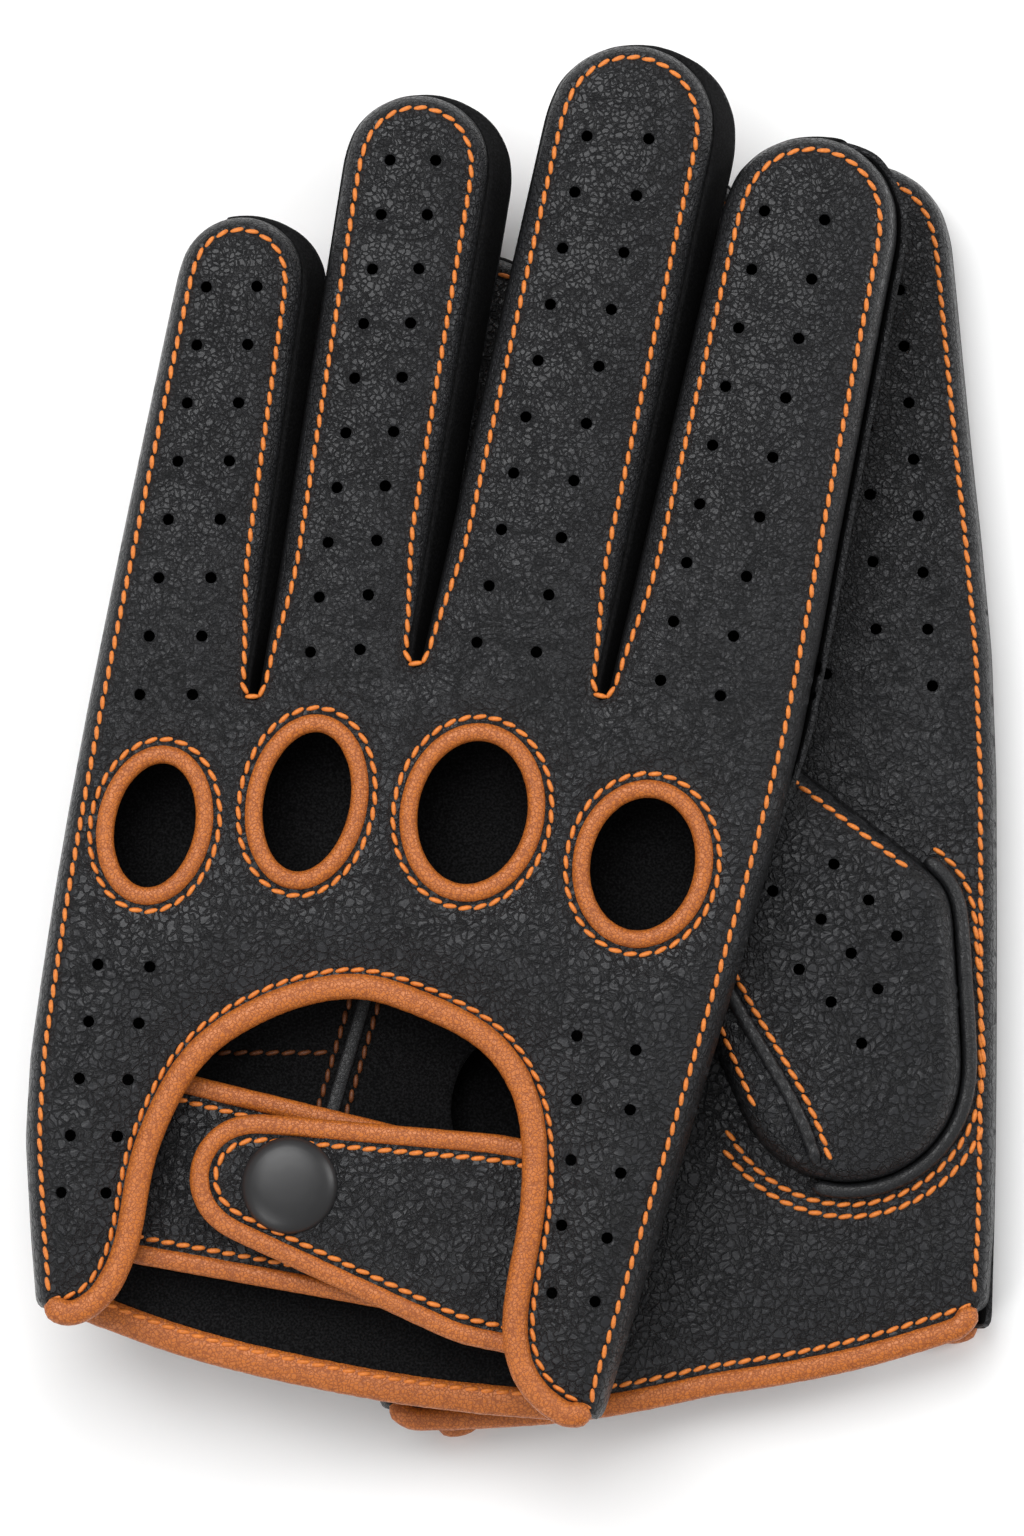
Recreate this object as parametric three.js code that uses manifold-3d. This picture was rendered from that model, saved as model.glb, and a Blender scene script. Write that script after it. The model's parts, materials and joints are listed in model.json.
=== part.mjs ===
// A pair of leather driving gloves, laid one on the other. The right-hand glove lies palm up and
// the left-hand glove lies palm down on it, with both thumbs folded between them.
// Millimetres, +Z up, fingers along +Y, origin on the ground at the middle of the pair's box.
import * as THREE from 'three';
import { mergeVertices } from 'three/addons/utils/BufferGeometryUtils.js';
import Module from 'manifold-3d';

const wasm = await Module();
wasm.setup();

// Leather and clearances
const leather = 1.1;          // thickness of every leather panel
const gap = 0.3;              // clearance between neighbouring pieces
const seamInset = 1.4;        // finger gussets stand this far inside the panels' edge
const gloveDepth = 14;        // outside of the palm to outside of the back
const thumbDepth = 7.5;       // outside to outside of a folded thumb
const thumbLeather = 1.0;

// Hand outline in a glove's own frame: X across from little to index finger, Y from cuff to tips
const cuffHalfWidth = 47.7;
const cuffBow = 5;            // how far the palm's cuff edge bows out below the back's
const palmHalfWidth = 59.3;
const indexSide = 57.9;
const slitHalfWidth = 1;
const crotches = [[-32.3, 105.4], [-7, 116], [24.4, 116.7]];
const fingers = [
  { name: 'little', across: -48.2, tip: 185.6, width: 21.6, lean: 4.3 },
  { name: 'ring', across: -23, tip: 211.3, width: 24.6, lean: 3 },
  { name: 'middle', across: 10.6, tip: 226.4, width: 28.6, lean: 0 },
  { name: 'index', across: 43, tip: 217, width: 29.4, lean: 0 },
];

// Holes over the knuckles: centre, inner half sizes and turn
const knuckleBinding = 2.6;
const knuckles = [
  { name: 'little', at: [-43.8, 82.3], half: [6.3, 10.2], turn: 0 },
  { name: 'ring', at: [-19.9, 91], half: [6.8, 11.5], turn: 0 },
  { name: 'middle', at: [7.3, 94.6], half: [8.7, 11.7], turn: 0 },
  { name: 'index', at: [36.5, 91.7], half: [8.3, 10.8], turn: 0 },
];
const bindingDepth = 2.4;

// Half-moon notch at the back of the wrist, from the little finger's side to the index side
const moonTop = 63.8;
const moonLeft = -36;
const moonRight = 31;
const moonBinding = 4;
const cuffBinding = 3.6;
const cornerWidth = 24;       // the back panel's cuff corners are trimmed square
const cornerLength = 20;

// Wrist strap: a tab from the index side closes on an under-strap from the little finger's side
const hingeX = 22;            // the tab flexes here, beside its sewn root
const tabRootLow = 7.8;
const tabRootHigh = 44;
const tabEnd = [-16.6, 28.4];
const tabBinding = 3;
const snapMargin = 0.2;       // between the snap cap and the tab's binding at its round end
const rootSewn = 8;           // length of the tab's root that is sewn in under the half-moon
const tabDrop = 3.6;          // underside of the tab below the back's outside
const snapAt = [-10.3, 28.4];
const snapRadius = 8;
const tabEndRadius = snapRadius + snapMargin + tabBinding;
const snapRoom = 2.6;         // between the tab and the under-strap
const socketRadius = 5;
const studRadius = 2;
const snapWasher = 0.6;
const strapLow = 10.9;
const strapHigh = 43;
const strapEnd = 14;
const strapBinding = 2.6;

// Thumb: sewn round a hole in the palm, folded flat over the palm and towards the fingers
const thumbAt = [27.4, 48.8];
const thumbTurn = 25;         // degrees from +Y towards the little finger
const thumbBaseRadius = 21;
// The web between thumb and index finger in the thumb's frame: X, Y and radius
const leftWeb = [13, 19, 12];
const rightWeb = [23, 18, 8.5];
const thumbTipRadius = 13;
const thumbLength = 62;
const thumbHoleRadius = 15;
const pipingWidth = 2;
const pipingHeight = 2.1;
const pipingEnd = 325;        // degrees round the foot, where the web's side leaves it

// How the two gloves lie
const leftTurn = -11.3;       // degrees, fingers towards the right
const leftAt = [-33.8, -103.2];
const rightTurn = 5;
const rightAt = [31, -105];
const leftReach = [1, 1, 1, 1];
const rightReach = [0.8, 0.8, 0.8, 0.85]; // fingers lie a little bent, so they look shorter

const black = 0x26272a;
const tan = 0xb8622a;
const cap = 0x2b2c2e;

const degrees = THREE.MathUtils.degToRad;

function material(color, roughness, metalness = 0) {
  return new THREE.MeshStandardMaterial({ color, roughness, metalness });
}

function arc(x, y, radiusX, radiusY, from, to, steps) {
  const points = [];
  for (let i = 0; i <= steps; i++) {
    const angle = degrees(from + (to - from) * i / steps);
    points.push([x + radiusX * Math.cos(angle), y + radiusY * Math.sin(angle)]);
  }
  return points;
}

function smooth(points, steps) {
  const curve = new THREE.SplineCurve(points.map(([x, y]) => new THREE.Vector2(x, y)));
  return curve.getPoints(steps).map((point) => [point.x, point.y]);
}

// Moves an open line of points sideways by a distance, to the left of its direction
function offset(points, distance) {
  return points.map((point, i) => {
    const before = points[Math.max(i - 1, 0)];
    const after = points[Math.min(i + 1, points.length - 1)];
    const dx = after[0] - before[0];
    const dy = after[1] - before[1];
    const length = Math.hypot(dx, dy);
    return [point[0] - dy / length * distance, point[1] + dx / length * distance];
  });
}

function slab(points, low, high, holes = []) {
  const shape = new THREE.Shape(points.map(([x, y]) => new THREE.Vector2(x, y)));
  for (const hole of holes) {
    shape.holes.push(new THREE.Path(hole.map(([x, y]) => new THREE.Vector2(x, y))));
  }
  const geometry = new THREE.ExtrudeGeometry(shape, { depth: high - low, bevelEnabled: false });
  return geometry.translate(0, 0, low);
}

// A wall that follows a line of points, between two distances to the left of it
function wall(line, near, far, low, high) {
  return slab([...offset(line, near), ...offset(line, far).reverse()], low, high);
}

function solid(geometry) {
  const bare = geometry.clone();
  bare.deleteAttribute('normal');
  bare.deleteAttribute('uv');
  const merged = mergeVertices(bare, 1e-4);
  return new wasm.Manifold(new wasm.Mesh({
    numProp: 3,
    vertProperties: new Float32Array(merged.attributes.position.array),
    triVerts: new Uint32Array(merged.index.array),
  }));
}

function surface(manifold) {
  const mesh = manifold.getMesh();
  const geometry = new THREE.BufferGeometry();
  geometry.setAttribute('position', new THREE.BufferAttribute(mesh.vertProperties, 3));
  geometry.setIndex(new THREE.BufferAttribute(mesh.triVerts, 1));
  geometry.computeVertexNormals();
  return geometry;
}

function join(geometries) {
  return surface(geometries.map(solid).reduce((sum, piece) => sum.add(piece)));
}

function cut(geometry, tools) {
  return surface(tools.map(solid).reduce((left, tool) => left.subtract(tool), solid(geometry)));
}

// Round end of one finger, from its little-finger side to its index side
function fingertip(index, inset, reach) {
  const finger = fingers[index];
  const base = crotches[Math.min(index, crotches.length - 1)][1];
  const tip = base + (finger.tip - base) * reach[index];
  const radius = finger.width / 2;
  const inner = radius - inset;
  return arc(finger.across, tip - radius, inner, inner, 180 + finger.lean, finger.lean, 8);
}

function crotch(index, inset) {
  const [x, y] = crotches[index];
  const radius = slitHalfWidth + inset;
  return arc(x, y + slitHalfWidth, radius, radius, 180, 360, 4);
}

function littleSide(inset) {
  const x = palmHalfWidth - inset;
  const corner = cuffHalfWidth - inset;
  return smooth([[-corner, 0], [-x + 3.4, 31], [-x + 1, 62], [-x, 95], [-x, 135]], 9);
}

function indexEdge(inset) {
  const x = indexSide - inset;
  return smooth([[x, 150], [x, 110], [x - 4.6, 55], [cuffHalfWidth - inset, 0]], 7);
}

// From the cuff's little-finger corner round all four fingers to its index corner
function handLine(inset, reach) {
  const line = [...littleSide(inset)];
  fingers.forEach((finger, i) => {
    line.push(...fingertip(i, inset, reach));
    if (i < crotches.length) line.push(...crotch(i, inset));
  });
  return [...line, ...indexEdge(inset)];
}

// The notch's edge, from the little-finger corner over the top to the index corner
function moonLine() {
  const middle = (moonLeft + moonRight) / 2;
  return smooth([
    [-cuffHalfWidth + 0.6, 0.1], [moonLeft - 3.4, 3.4], [moonLeft, 13], [moonLeft, 30],
    [moonLeft + 5, 47], [moonLeft + 16, moonTop - 5.8], [middle - 5, moonTop],
    [middle + 6, moonTop - 0.2], [moonRight - 13, moonTop - 4.4], [moonRight - 4, moonTop - 14],
    [moonRight, 34], [moonRight + 0.8, 14], [moonRight + 5.6, 4.4], [cuffHalfWidth - 0.6, 0.1],
  ], 44);
}

function knuckleHole(knuckle, grow) {
  const [x, y] = knuckle.at;
  const [halfX, halfY] = knuckle.half;
  return arc(x, y, halfX + grow, halfY + grow, 0, 360, 24).slice(0, -1);
}

// Side walls that turn down from the back panel over the fingertips and outer edges
function sideWalls(reach) {
  const near = seamInset;
  const low = leather + gap;
  const high = gloveDepth - leather / 2;
  const lines = fingers.map((finger, i) => fingertip(i, 0, reach));
  lines[0] = [...littleSide(0), ...lines[0]];
  lines[3] = [...lines[3], ...indexEdge(0)];
  return lines.map((line) => wall(line, -near, -near - leather, low, high));
}

function backPanel(reach) {
  const notch = moonLine().reverse();
  const holes = knuckles.map((knuckle) => knuckleHole(knuckle, knuckleBinding + gap));
  const top = slab([...handLine(0, reach), ...notch], gloveDepth - leather, gloveDepth, holes);
  const ends = [-1, 1].map((side) => new THREE.BoxGeometry(cornerWidth, cornerLength, gloveDepth * 3)
    .translate(side * (cuffHalfWidth + 2), -cornerLength / 2 - 0.05, 0));
  return cut(join([top, ...sideWalls(reach)]), ends);
}

function palmCuff(drop) {
  return smooth([
    [cuffHalfWidth, drop], [24, drop - cuffBow * 0.8], [0, drop - cuffBow],
    [-24, drop - cuffBow * 0.8], [-cuffHalfWidth, drop],
  ], 24);
}

function palmPanel(reach) {
  const cuffEdge = palmCuff(cuffBinding + 2 * gap);
  const line = handLine(0, reach).filter(([, y]) => y > cuffBinding + gap + 1);
  const hole = arc(thumbAt[0], thumbAt[1], thumbHoleRadius, thumbHoleRadius, 0, 360, 20);
  return slab([...line, ...cuffEdge], 0, leather, [hole.slice(0, -1)]);
}

// A gusset lines the two facing sides of neighbouring fingers and the crotch between them
function fingerGusset(index, reach) {
  const left = fingertip(index, 0, reach);
  const right = fingertip(index + 1, 0, reach);
  const start = [left.at(-1)[0] - 0.05, left.at(-1)[1] - 2 * gap - 0.6];
  const end = [right[0][0] + 0.05, right[0][1] - 2 * gap - 0.6];
  const line = [start, ...crotch(index, 0), end];
  return wall(line, -seamInset, -seamInset - leather, leather + gap, gloveDepth - leather - gap);
}

function knuckleRing(knuckle) {
  return slab(knuckleHole(knuckle, knuckleBinding), gloveDepth - bindingDepth, gloveDepth,
    [knuckleHole(knuckle, 0)]);
}

function tabOutline(inset) {
  const radius = tabEndRadius - inset;
  return [
    [hingeX, tabRootLow + inset],
    [hingeX, tabRootHigh - inset],
    ...arc(tabEnd[0], tabEnd[1], radius, radius, 95, 257, 12),
  ];
}

function tabBindingRing(low, high) {
  const outer = tabOutline(0);
  const inner = tabOutline(tabBinding);
  return slab([...outer.slice(1), outer[0], inner[0], ...inner.slice(1).reverse()], low, high);
}

function lathe(profile, at, low) {
  const points = profile.map(([radius, height]) => new THREE.Vector2(radius, height));
  return new THREE.LatheGeometry(points, 24).rotateX(Math.PI / 2)
    .translate(at[0], at[1], low);
}

function thumbFrame(geometry) {
  return geometry.rotateZ(degrees(thumbTurn)).translate(thumbAt[0], thumbAt[1], 0);
}

// Outline stretched round a set of circles, counter-clockwise
function stretchedRound(circles) {
  const points = circles.flatMap(([x, y, radius]) => arc(x, y, radius, radius, 0, 345, 23));
  points.sort((a, b) => a[0] - b[0] || a[1] - b[1]);
  const chain = (ordered) => {
    const line = [];
    for (const point of ordered) {
      while (line.length > 1) {
        const [a, b] = line.slice(-2);
        const turn = (b[0] - a[0]) * (point[1] - a[1]) - (b[1] - a[1]) * (point[0] - a[0]);
        if (turn > 1e-9) break;
        line.pop();
      }
      line.push(point);
    }
    return line.slice(0, -1);
  };
  return [...chain(points), ...chain([...points].reverse())];
}

// Thumb outline along its own +Y: wide round base, the web on its index side, and a round tip
function thumbLine(web, inset) {
  return stretchedRound([
    [0, 0, thumbBaseRadius - inset],
    [web[0], web[1], web[2] - inset],
    [0, thumbLength, thumbTipRadius - inset],
  ]);
}

// Outer half of the thumb: a flat top with its sides turned down, open over the palm's hole
function thumbFront(web) {
  const low = -gap - thumbDepth;
  const rim = slab(thumbLine(web, 0), low, -gap);
  const hollow = slab(thumbLine(web, thumbLeather), low + thumbLeather, gap);
  return thumbFrame(cut(rim, [hollow]));
}

// Inner half of the thumb, which lies on the palm from the hole's edge to the thumb's tip
function thumbBack(web) {
  const inset = thumbLeather + gap;
  const blank = slab(thumbLine(web, inset), -gap - thumbLeather, -gap);
  const hole = slab(arc(0, 0, 40, thumbHoleRadius + 1, 0, 360, 24).slice(0, -1), -9, 9);
  const below = slab([[-40, -40], [40, -40], [40, 0], [-40, 0]], -9, 9);
  return thumbFrame(cut(blank, [hole, below]));
}

// Piping round the foot of the thumb, where it is sewn to the palm
function thumbPiping() {
  const line = arc(0, 0, thumbBaseRadius, thumbBaseRadius, 180, pipingEnd, 16);
  return thumbFrame(wall(line, -2 * gap, -2 * gap - pipingWidth, -gap - pipingHeight - gap, -gap));
}

const finishes = {
  shell: () => material(black, 0.55),
  binding: () => material(tan, 0.5),
  snap: () => material(cap, 0.4, 0.3),
};

function glove(side, reach, web) {
  const group = new THREE.Group();
  const add = (name, geometry, finish) => {
    const mesh = new THREE.Mesh(geometry, finishes[finish]());
    mesh.name = `${side}_${name}`;
    group.add(mesh);
  };

  add('back_panel', backPanel(reach), 'shell');
  add('palm_panel', palmPanel(reach), 'shell');
  ['little_ring', 'ring_middle', 'middle_index'].forEach((pair, i) => {
    add(`${pair}_gusset`, fingerGusset(i, reach), 'shell');
  });
  knuckles.forEach((knuckle) => {
    add(`${knuckle.name}_knuckle_binding`, knuckleRing(knuckle), 'binding');
  });

  const bindingLow = gloveDepth - bindingDepth;
  add('half_moon_binding', wall(moonLine(), -2 * gap, -moonBinding, bindingLow, gloveDepth), 'binding');
  const cuffEnd = cuffHalfWidth - seamInset - leather - 2 * gap;
  const cuffLine = palmCuff(0).filter(([x]) => Math.abs(x) < cuffEnd);
  add('palm_cuff_binding', wall(cuffLine, 0, -cuffBinding, 0, bindingDepth), 'binding');

  const tabLow = gloveDepth - tabDrop;
  const tabHigh = tabLow + leather;
  const strapTop = tabLow - snapRoom;
  const strapLowFace = strapTop - leather;
  add('strap_tab', slab(tabOutline(tabBinding + gap), tabLow, tabHigh), 'shell');
  add('strap_tab_binding', tabBindingRing(tabLow - 0.4, tabHigh + 0.4), 'binding');
  const rootEnd = moonRight - gap - moonBinding;
  add('strap_root', slab([
    [hingeX + gap, tabRootLow], [rootEnd + rootSewn, tabRootLow], [rootEnd + rootSewn, tabRootHigh],
    [hingeX + gap, tabRootHigh],
  ], tabLow - 0.4, tabHigh - 0.4), 'shell');

  const strapStart = moonLeft - 3;
  add('under_strap', slab([
    [strapStart, strapLow + strapBinding + gap], [strapEnd, strapLow + strapBinding + gap],
    [strapEnd, strapHigh - strapBinding - gap], [strapStart, strapHigh - strapBinding - gap],
  ], strapLowFace, strapTop), 'shell');
  [['lower', strapLow], ['upper', strapHigh - strapBinding]].forEach(([edge, y]) => {
    add(`under_strap_${edge}_binding`, slab([
      [strapStart, y], [strapEnd, y], [strapEnd, y + strapBinding], [strapStart, y + strapBinding],
    ], strapLowFace - 0.3, strapTop + 0.3), 'binding');
  });

  const capHeight = gloveDepth - tabHigh - gap;
  add('snap_cap', lathe([
    [0, 0], [snapRadius - 0.4, 0], [snapRadius, 0.5], [snapRadius - 0.5, capHeight * 0.55],
    [snapRadius * 0.62, capHeight * 0.9], [0, capHeight],
  ], snapAt, tabHigh + gap), 'snap');
  add('snap_socket', lathe([
    [studRadius + 0.5, 0], [socketRadius, 0], [socketRadius, snapRoom - 4 * gap],
    [studRadius + 0.5, snapRoom - 4 * gap], [studRadius + 0.5, 0],
  ], snapAt, strapTop + 3 * gap), 'snap');
  add('snap_stud', lathe([
    [0, 0], [socketRadius, 0], [socketRadius, gap], [studRadius, gap],
    [studRadius, snapRoom - 3 * gap], [0, snapRoom - 3 * gap],
  ], snapAt, strapTop + gap), 'snap');
  add('snap_post', lathe([
    [0, 0], [socketRadius - 0.4, 0], [socketRadius, snapWasher], [0, snapWasher],
  ], snapAt, strapLowFace - gap - snapWasher), 'snap');

  add('thumb_front_panel', thumbFront(web), 'shell');
  add('thumb_back_panel', thumbBack(web), 'shell');
  add('thumb_piping', thumbPiping(), 'shell');
  return group;
}

const pair = new THREE.Group();

const right = glove('right', rightReach, rightWeb);
right.scale.z = -1;
right.rotation.z = degrees(rightTurn);
right.position.set(rightAt[0], rightAt[1], gloveDepth);
pair.add(right);

const left = glove('left', leftReach, leftWeb);
left.rotation.z = degrees(leftTurn);
left.position.set(leftAt[0], leftAt[1], gloveDepth + thumbDepth + 2 * gap);
pair.add(left);

pair.updateMatrixWorld(true);
const box = new THREE.Box3().setFromObject(pair, true);
const middle = box.getCenter(new THREE.Vector3());
pair.position.set(-middle.x, -middle.y, -box.min.z);
pair.updateMatrixWorld(true);

export default pair;
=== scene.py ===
import json
import math

import bpy
import numpy as np
from mathutils import Matrix, Vector, geometry, kdtree, noise


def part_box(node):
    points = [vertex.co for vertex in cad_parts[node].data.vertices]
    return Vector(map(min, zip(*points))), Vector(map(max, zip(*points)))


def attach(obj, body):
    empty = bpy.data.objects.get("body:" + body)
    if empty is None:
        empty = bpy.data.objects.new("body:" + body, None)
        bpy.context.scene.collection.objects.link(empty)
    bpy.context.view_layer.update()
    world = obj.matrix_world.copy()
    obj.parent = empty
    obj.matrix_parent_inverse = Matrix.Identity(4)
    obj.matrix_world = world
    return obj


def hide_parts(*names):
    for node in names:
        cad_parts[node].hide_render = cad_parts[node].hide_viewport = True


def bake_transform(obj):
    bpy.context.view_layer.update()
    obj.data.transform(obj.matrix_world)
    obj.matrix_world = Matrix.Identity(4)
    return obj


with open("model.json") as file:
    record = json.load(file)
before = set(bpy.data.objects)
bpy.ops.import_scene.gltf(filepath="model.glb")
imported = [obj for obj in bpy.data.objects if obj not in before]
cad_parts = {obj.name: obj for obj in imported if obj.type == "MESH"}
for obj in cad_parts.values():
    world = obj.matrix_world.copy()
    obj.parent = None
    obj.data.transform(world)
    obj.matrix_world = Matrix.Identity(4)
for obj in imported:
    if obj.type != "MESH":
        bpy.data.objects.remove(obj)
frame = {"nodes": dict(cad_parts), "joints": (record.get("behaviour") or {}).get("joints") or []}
bpy.ops.object.select_all(action="DESELECT")
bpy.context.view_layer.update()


# ---- Camera, floor and light ----
# The pair lies on a white table under a large soft overhead light, seen from almost straight
# above and a little from the cuff side.
FRAME_HEIGHT = 0.2550          # what the picture shows from top to bottom, at the upper glove
CAMERA_DISTANCE = 1.15
SENSOR = 0.036
LOOK_AT = Vector((-0.0002, -0.0046, 0.030))
TILT_X, TILT_Y = 0.030, -0.060

camera_data = bpy.data.cameras.new("camera")
camera_data.lens = 1000 * SENSOR * CAMERA_DISTANCE / FRAME_HEIGHT
camera = bpy.data.objects.new("camera", camera_data)
bpy.context.collection.objects.link(camera)
camera.location = LOOK_AT + Vector((TILT_X, TILT_Y, 1)).normalized() * CAMERA_DISTANCE
backwards = (camera.location - LOOK_AT).normalized()
sideways = Vector((0, 1, 0)).cross(backwards).normalized()
upwards = backwards.cross(sideways)
camera.rotation_euler = Matrix((sideways, upwards, backwards)).transposed().to_euler()
bpy.context.scene.camera = camera
bpy.context.scene.view_settings.view_transform = "Standard"

bpy.ops.mesh.primitive_plane_add(size=6, location=(0, 0, -0.0006))
floor = bpy.context.object
floor.name = "floor"
floor_material = bpy.data.materials.new("white_table")
floor_material.use_nodes = True
floor_shader = floor_material.node_tree.nodes["Principled BSDF"]
floor_shader.inputs["Base Color"].default_value = (1.0, 1.0, 1.0, 1)
floor_shader.inputs["Roughness"].default_value = 0.9
floor.data.materials.append(floor_material)

world = bpy.data.worlds.new("studio")
bpy.context.scene.world = world
world.use_nodes = True
world.node_tree.nodes["Background"].inputs["Color"].default_value = (1, 1, 1, 1)
world.node_tree.nodes["Background"].inputs["Strength"].default_value = 0.42

for name, place, size, power in (
    ("overhead", (-0.24, 0.46, 1.05), 0.85, 11),
    ("side_light", (1.0, 0.25, 0.6), 0.4, 4),
    ("near_fill", (-0.6, -0.8, 0.8), 0.5, 3),
):
    light_data = bpy.data.lights.new(name, "AREA")
    light_data.size = size
    light_data.energy = power
    light = bpy.data.objects.new(name, light_data)
    light.location = place
    light.rotation_euler = (-Vector(place)).to_track_quat("-Z", "Y").to_euler()
    bpy.context.collection.objects.link(light)


# ---- Finishes ----
# Charcoal grained leather, tan binding leather, orange thread, black suede inside, and a matte
# black lacquered snap with brass works behind it. A near-black copy of the leather is painted
# shade on the walls between the fingers.
def new_finish(name, color, roughness, metallic=0.0, specular=0.5):
    finish = bpy.data.materials.new(name)
    finish.use_nodes = True
    shader = finish.node_tree.nodes["Principled BSDF"]
    shader.inputs["Base Color"].default_value = (*color, 1)
    shader.inputs["Roughness"].default_value = roughness
    shader.inputs["Metallic"].default_value = metallic
    shader.inputs["Specular IOR Level"].default_value = specular
    return finish, finish.node_tree, shader


def add_node(tree, kind, **inputs):
    node = tree.nodes.new(kind)
    for key, value in inputs.items():
        node.inputs[key.replace("_", " ")].default_value = value
    return node


def pattern_place(tree):
    return tree.nodes.new("ShaderNodeTexCoord").outputs["Object"]


def tinted(tree, shader, value, *stops):
    """Colours a finish by a value, through stops that each have a position and a colour."""
    ramp = tree.nodes.new("ShaderNodeValToRGB")
    for element, (position, color) in zip(ramp.color_ramp.elements, stops):
        element.position = position
        element.color = (*color, 1)
    tree.links.new(value, ramp.inputs["Fac"])
    tree.links.new(ramp.outputs["Color"], shader.inputs["Base Color"])


def fine_relief(tree, shader, scale, detail, strength, distance):
    """Fine noise that roughens a finish. Gives back its value."""
    speckle = add_node(tree, "ShaderNodeTexNoise", Scale=scale, Detail=detail)
    tree.links.new(pattern_place(tree), speckle.inputs["Vector"])
    relief = add_node(tree, "ShaderNodeBump", Strength=strength, Distance=distance)
    tree.links.new(speckle.outputs["Fac"], relief.inputs["Height"])
    tree.links.new(relief.outputs["Normal"], shader.inputs["Normal"])
    return speckle.outputs["Fac"]


def math_node(tree, operation, first, second=None, third=None):
    node = tree.nodes.new("ShaderNodeMath")
    node.operation = operation
    for socket, value in zip(node.inputs, (first, second, third)):
        if isinstance(value, (int, float)):
            socket.default_value = value
        elif value is not None:
            tree.links.new(value, socket)
    return node.outputs[0]


def pebbles(tree, place, cell):
    """Rounded pebbles with fine valleys between them, 0 in a valley and 1 on a pebble."""
    warp = add_node(tree, "ShaderNodeTexNoise", Scale=cell * 0.55, Detail=3.0, Roughness=0.6)
    tree.links.new(place, warp.inputs["Vector"])
    bend = tree.nodes.new("ShaderNodeVectorMath")
    bend.operation = "MULTIPLY_ADD"
    bend.inputs[1].default_value = (1.5 / cell,) * 3
    tree.links.new(warp.outputs["Color"], bend.inputs[0])
    tree.links.new(place, bend.inputs[2])
    pebble = tree.nodes.new("ShaderNodeTexVoronoi")
    pebble.feature = "DISTANCE_TO_EDGE"
    pebble.inputs["Scale"].default_value = cell
    tree.links.new(bend.outputs[0], pebble.inputs["Vector"])
    dome = add_node(tree, "ShaderNodeMapRange", From_Max=0.17)
    dome.interpolation_type = "SMOOTHERSTEP"
    tree.links.new(pebble.outputs["Distance"], dome.inputs["Value"])
    return dome.outputs["Result"]


def leather(name, dark, light, cell, fine_cell, wrinkle, roughness, bump, specular):
    """Grained leather. With a fine_cell, its grain turns finer towards the fingertips."""
    finish, tree, shader = new_finish(name, dark, roughness, specular=specular)
    place = pattern_place(tree)
    grain = pebbles(tree, place, cell)
    if fine_cell:
        parts = tree.nodes.new("ShaderNodeSeparateXYZ")
        tree.links.new(place, parts.inputs[0])
        reach = add_node(tree, "ShaderNodeMapRange", From_Min=-0.02, From_Max=0.045)
        tree.links.new(parts.outputs["Y"], reach.inputs["Value"])
        blend = tree.nodes.new("ShaderNodeMix")
        tree.links.new(reach.outputs["Result"], blend.inputs["Factor"])
        tree.links.new(grain, blend.inputs["A"])
        tree.links.new(pebbles(tree, place, fine_cell), blend.inputs["B"])
        grain = blend.outputs["Result"]
    pores = add_node(tree, "ShaderNodeTexNoise", Scale=cell * 3.0, Detail=4.0, Roughness=0.6)
    tree.links.new(place, pores.inputs["Vector"])
    folds = add_node(tree, "ShaderNodeTexNoise", Scale=wrinkle, Detail=5.0, Roughness=0.62,
                     Distortion=1.4)
    tree.links.new(place, folds.inputs["Vector"])
    valley = math_node(tree, "ABSOLUTE", math_node(tree, "SUBTRACT", folds.outputs["Fac"], 0.5))
    line = add_node(tree, "ShaderNodeMapRange", From_Max=0.035)
    line.interpolation_type = "SMOOTHSTEP"
    tree.links.new(valley, line.inputs["Value"])
    height = math_node(tree, "MULTIPLY_ADD", pores.outputs["Fac"], 0.14, grain)
    height = math_node(tree, "MULTIPLY_ADD", line.outputs["Result"], 0.55, height)
    height = math_node(tree, "MULTIPLY_ADD", folds.outputs["Fac"], 1.5, height)
    relief = add_node(tree, "ShaderNodeBump", Strength=bump, Distance=0.00030)
    tree.links.new(height, relief.inputs["Height"])
    tree.links.new(relief.outputs["Normal"], shader.inputs["Normal"])
    tone = add_node(tree, "ShaderNodeTexNoise", Scale=45.0, Detail=4.0)
    tree.links.new(place, tone.inputs["Vector"])
    creased = add_node(tree, "ShaderNodeMapRange", To_Min=0.35)
    tree.links.new(line.outputs["Result"], creased.inputs["Value"])
    shade = math_node(tree, "MULTIPLY", grain, creased.outputs["Result"])
    shade = math_node(tree, "MULTIPLY_ADD", tone.outputs["Fac"], 0.3,
                      math_node(tree, "MULTIPLY", shade, 0.6))
    tinted(tree, shader, shade, (0.15, dark), (0.75, light))
    gloss = add_node(tree, "ShaderNodeMapRange", To_Min=roughness + 0.15,
                     To_Max=roughness - 0.03)
    tree.links.new(grain, gloss.inputs["Value"])
    tree.links.new(gloss.outputs["Result"], shader.inputs["Roughness"])
    return finish


hand_leather = leather("hand_leather", (0.0062, 0.0064, 0.0072), (0.0195, 0.0200, 0.0222),
                       680, 1000, 170, 0.36, 0.8, 0.30)
edge_leather = leather("edge_leather", (0.0060, 0.0061, 0.0067), (0.0190, 0.0194, 0.0210),
                       1300, None, 260, 0.36, 0.20, 0.35)
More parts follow.
